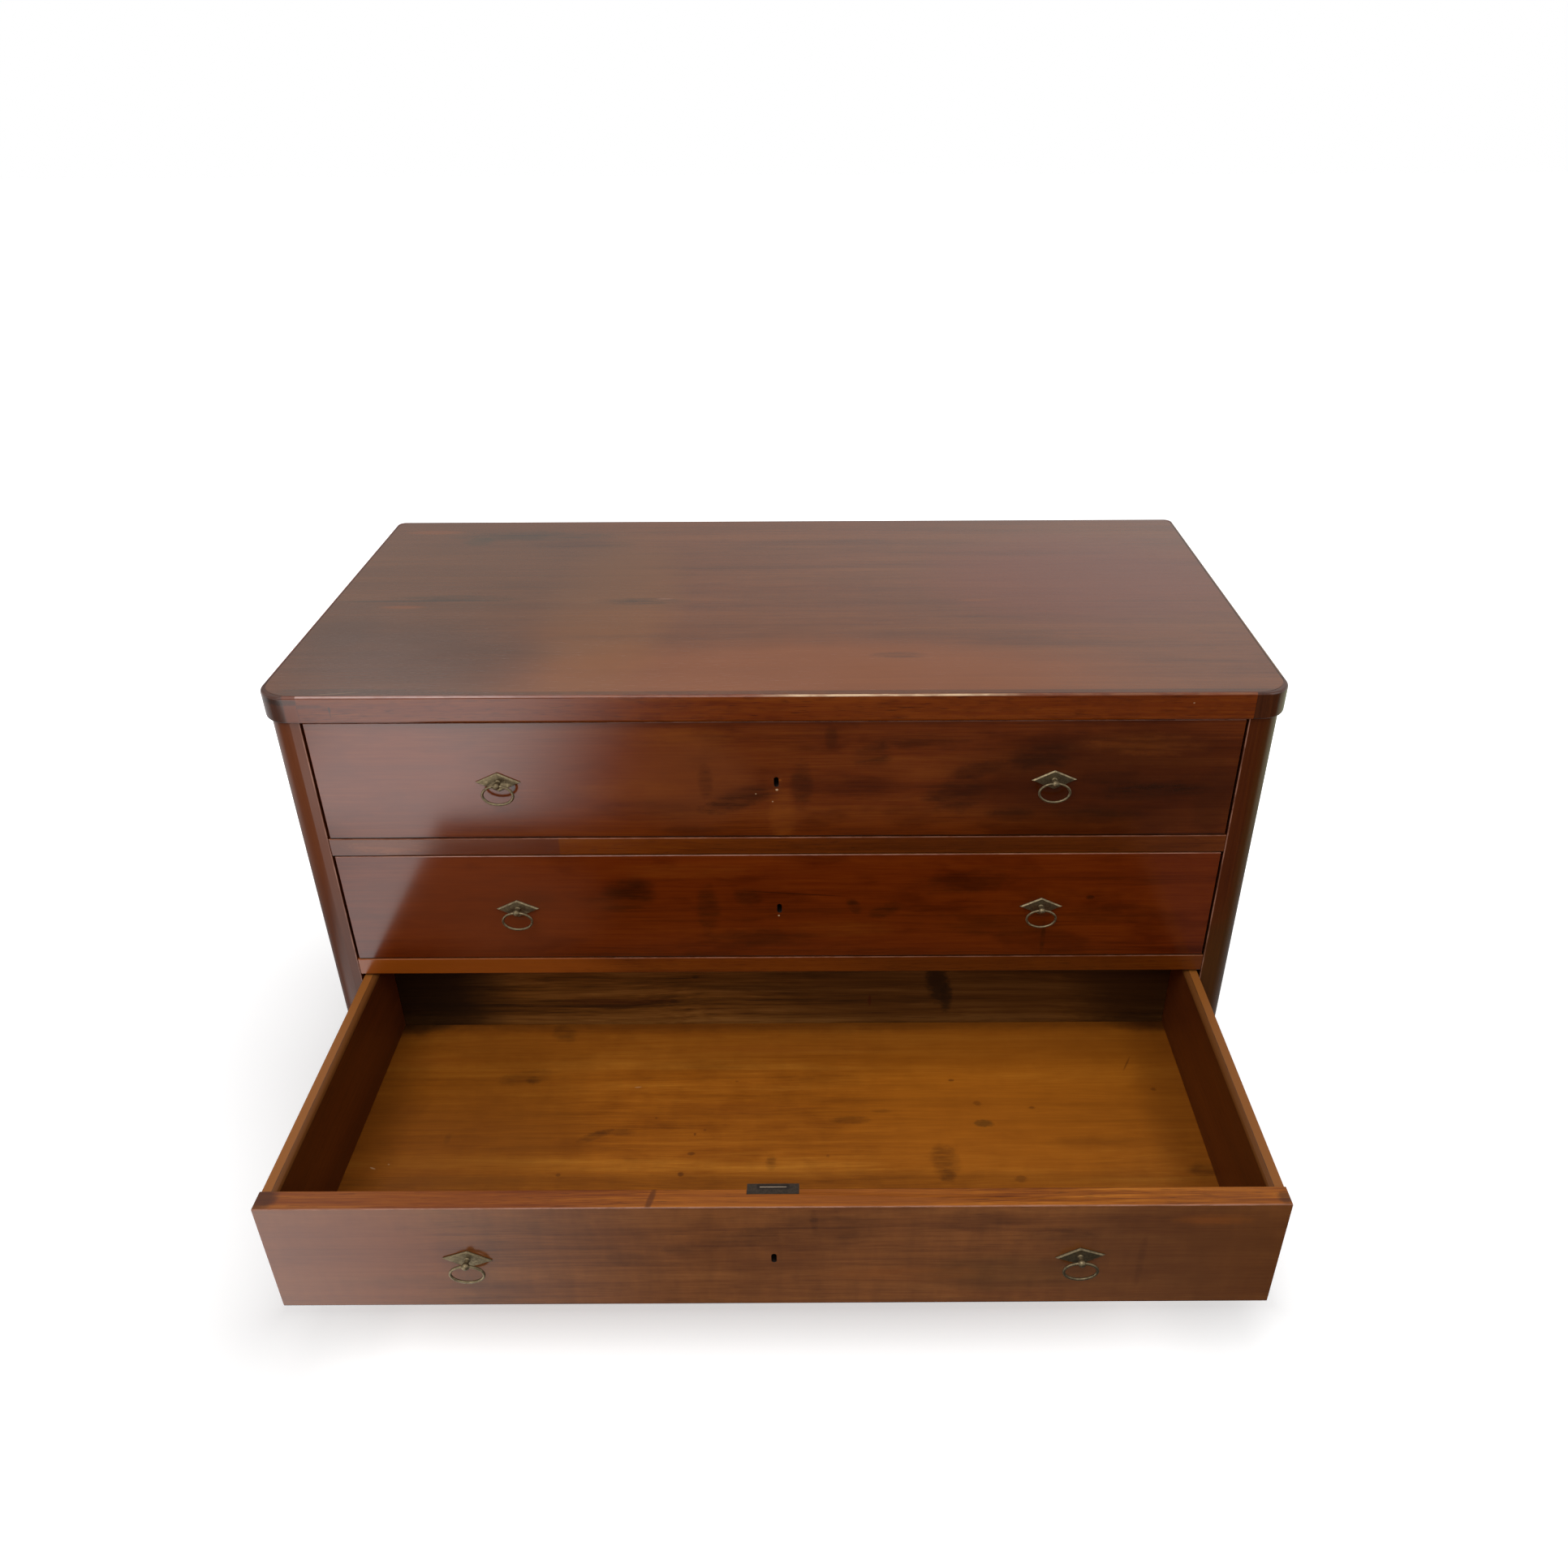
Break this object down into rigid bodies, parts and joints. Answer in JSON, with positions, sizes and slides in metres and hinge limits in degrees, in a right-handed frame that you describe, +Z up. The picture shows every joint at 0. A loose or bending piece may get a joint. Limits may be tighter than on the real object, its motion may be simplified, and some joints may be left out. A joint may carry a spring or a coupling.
{
  "type": "commode",
  "caption": "Low chest with full-width drawers, rounded front posts and corners, tapered feet, oval ring pulls on diamond plates, drawer locks; the lowest drawer stands open.",
  "frame": {"origin": "on the floor, at the middle of the box round the chest with its lowest drawer open", "axes": "+Z up, +X to the right seen from the front, the drawers open towards -Y"},
  "size_m": [1.2, 0.9948, 0.718],
  "materials": {
    "mahogany_veneer": "polished figured mahogany veneer, semi-gloss",
    "mahogany_solid": "polished straight-grained mahogany, semi-gloss",
    "drawer_mahogany": "dark stained drawer sides, satin",
    "pine_stained": "honey stained pine, satin",
    "pine_raw": "unfinished aged pine, matt",
    "iron": "blackened iron",
    "brass": "aged dull brass"
  },
  "bodies": {
    "case": {"top_board": "mahogany_veneer", "front_leg_left": "mahogany_solid", "front_leg_right": "mahogany_solid", "rear_leg_left": "mahogany_solid", "rear_leg_right": "mahogany_solid", "side_panel_left": "mahogany_veneer", "side_panel_right": "mahogany_veneer", "drawer_rail_upper": "mahogany_solid", "drawer_rail_lower": "mahogany_solid", "bottom_rail_front": "mahogany_solid", "bottom_rail_back": "pine_raw", "top_rail_front": "pine_raw", "top_rail_back": "pine_raw", "kicker_left": "pine_raw", "kicker_right": "pine_raw", "back_board_lower": "pine_raw", "back_board_middle": "pine_raw", "back_board_upper": "pine_raw", "runner_top_left": "pine_raw", "runner_top_right": "pine_raw", "runner_middle_left": "pine_raw", "runner_middle_right": "pine_raw", "runner_bottom_left": "pine_raw", "runner_bottom_right": "pine_raw"},
    "top_drawer": {"top_drawer_front": "mahogany_veneer", "top_drawer_left_side": "drawer_mahogany", "top_drawer_right_side": "drawer_mahogany", "top_drawer_back": "pine_stained", "top_drawer_floor": "pine_stained", "top_drawer_lock": "iron", "top_drawer_left_pull_plate": "brass", "top_drawer_right_pull_plate": "brass"},
    "top_drawer_bolt": {"top_drawer_lock_bolt": "iron"},
    "top_drawer_left_ring": {"top_drawer_left_pull_ring": "brass"},
    "top_drawer_right_ring": {"top_drawer_right_pull_ring": "brass"},
    "middle_drawer": {"middle_drawer_front": "mahogany_veneer", "middle_drawer_left_side": "drawer_mahogany", "middle_drawer_right_side": "drawer_mahogany", "middle_drawer_back": "pine_stained", "middle_drawer_floor": "pine_stained", "middle_drawer_lock": "iron", "middle_drawer_left_pull_plate": "brass", "middle_drawer_right_pull_plate": "brass"},
    "middle_drawer_bolt": {"middle_drawer_lock_bolt": "iron"},
    "middle_drawer_left_ring": {"middle_drawer_left_pull_ring": "brass"},
    "middle_drawer_right_ring": {"middle_drawer_right_pull_ring": "brass"},
    "bottom_drawer": {"bottom_drawer_front": "mahogany_veneer", "bottom_drawer_left_side": "drawer_mahogany", "bottom_drawer_right_side": "drawer_mahogany", "bottom_drawer_back": "pine_stained", "bottom_drawer_floor": "pine_stained", "bottom_drawer_lock": "iron", "bottom_drawer_left_pull_plate": "brass", "bottom_drawer_right_pull_plate": "brass"},
    "bottom_drawer_bolt": {"bottom_drawer_lock_bolt": "iron"},
    "bottom_drawer_left_ring": {"bottom_drawer_left_pull_ring": "brass"},
    "bottom_drawer_right_ring": {"bottom_drawer_right_pull_ring": "brass"}
  },
  "joints": [
    {"name": "top_drawer_slide", "type": "slide", "parent": "case", "child": "top_drawer", "axis": [0, -1, 0], "range_m": [0, 0.4]},
    {"name": "middle_drawer_slide", "type": "slide", "parent": "case", "child": "middle_drawer", "axis": [0, -1, 0], "range_m": [0, 0.4]},
    {"name": "bottom_drawer_slide", "type": "slide", "parent": "case", "child": "bottom_drawer", "axis": [0, -1, 0], "range_m": [-0.385, 0.015]},
    {"name": "top_drawer_bolt_slide", "type": "slide", "parent": "top_drawer", "child": "top_drawer_bolt", "axis": [0, 0, 1], "range_m": [0, 0.008]},
    {"name": "middle_drawer_bolt_slide", "type": "slide", "parent": "middle_drawer", "child": "middle_drawer_bolt", "axis": [0, 0, 1], "range_m": [0, 0.008]},
    {"name": "bottom_drawer_bolt_slide", "type": "slide", "parent": "bottom_drawer", "child": "bottom_drawer_bolt", "axis": [0, 0, 1], "range_m": [0, 0.008]},
    {"name": "top_left_ring_swing", "type": "hinge", "parent": "top_drawer", "child": "top_drawer_left_ring", "pos_m": [-0.333, -0.10805, 0.6015], "axis": [-1, 0, 0], "range_deg": [-18, 180]},
    {"name": "top_right_ring_swing", "type": "hinge", "parent": "top_drawer", "child": "top_drawer_right_ring", "pos_m": [0.333, -0.10805, 0.6015], "axis": [-1, 0, 0], "range_deg": [-18, 180]},
    {"name": "middle_left_ring_swing", "type": "hinge", "parent": "middle_drawer", "child": "middle_drawer_left_ring", "pos_m": [-0.333, -0.10805, 0.414], "axis": [-1, 0, 0], "range_deg": [-18, 180]},
    {"name": "middle_right_ring_swing", "type": "hinge", "parent": "middle_drawer", "child": "middle_drawer_right_ring", "pos_m": [0.333, -0.10805, 0.414], "axis": [-1, 0, 0], "range_deg": [-18, 180]},
    {"name": "bottom_left_ring_swing", "type": "hinge", "parent": "bottom_drawer", "child": "bottom_drawer_left_ring", "pos_m": [-0.333, -0.49305, 0.228], "axis": [-1, 0, 0], "range_deg": [-18, 180]},
    {"name": "bottom_right_ring_swing", "type": "hinge", "parent": "bottom_drawer", "child": "bottom_drawer_right_ring", "pos_m": [0.333, -0.49305, 0.228], "axis": [-1, 0, 0], "range_deg": [-18, 180]}
  ]
}
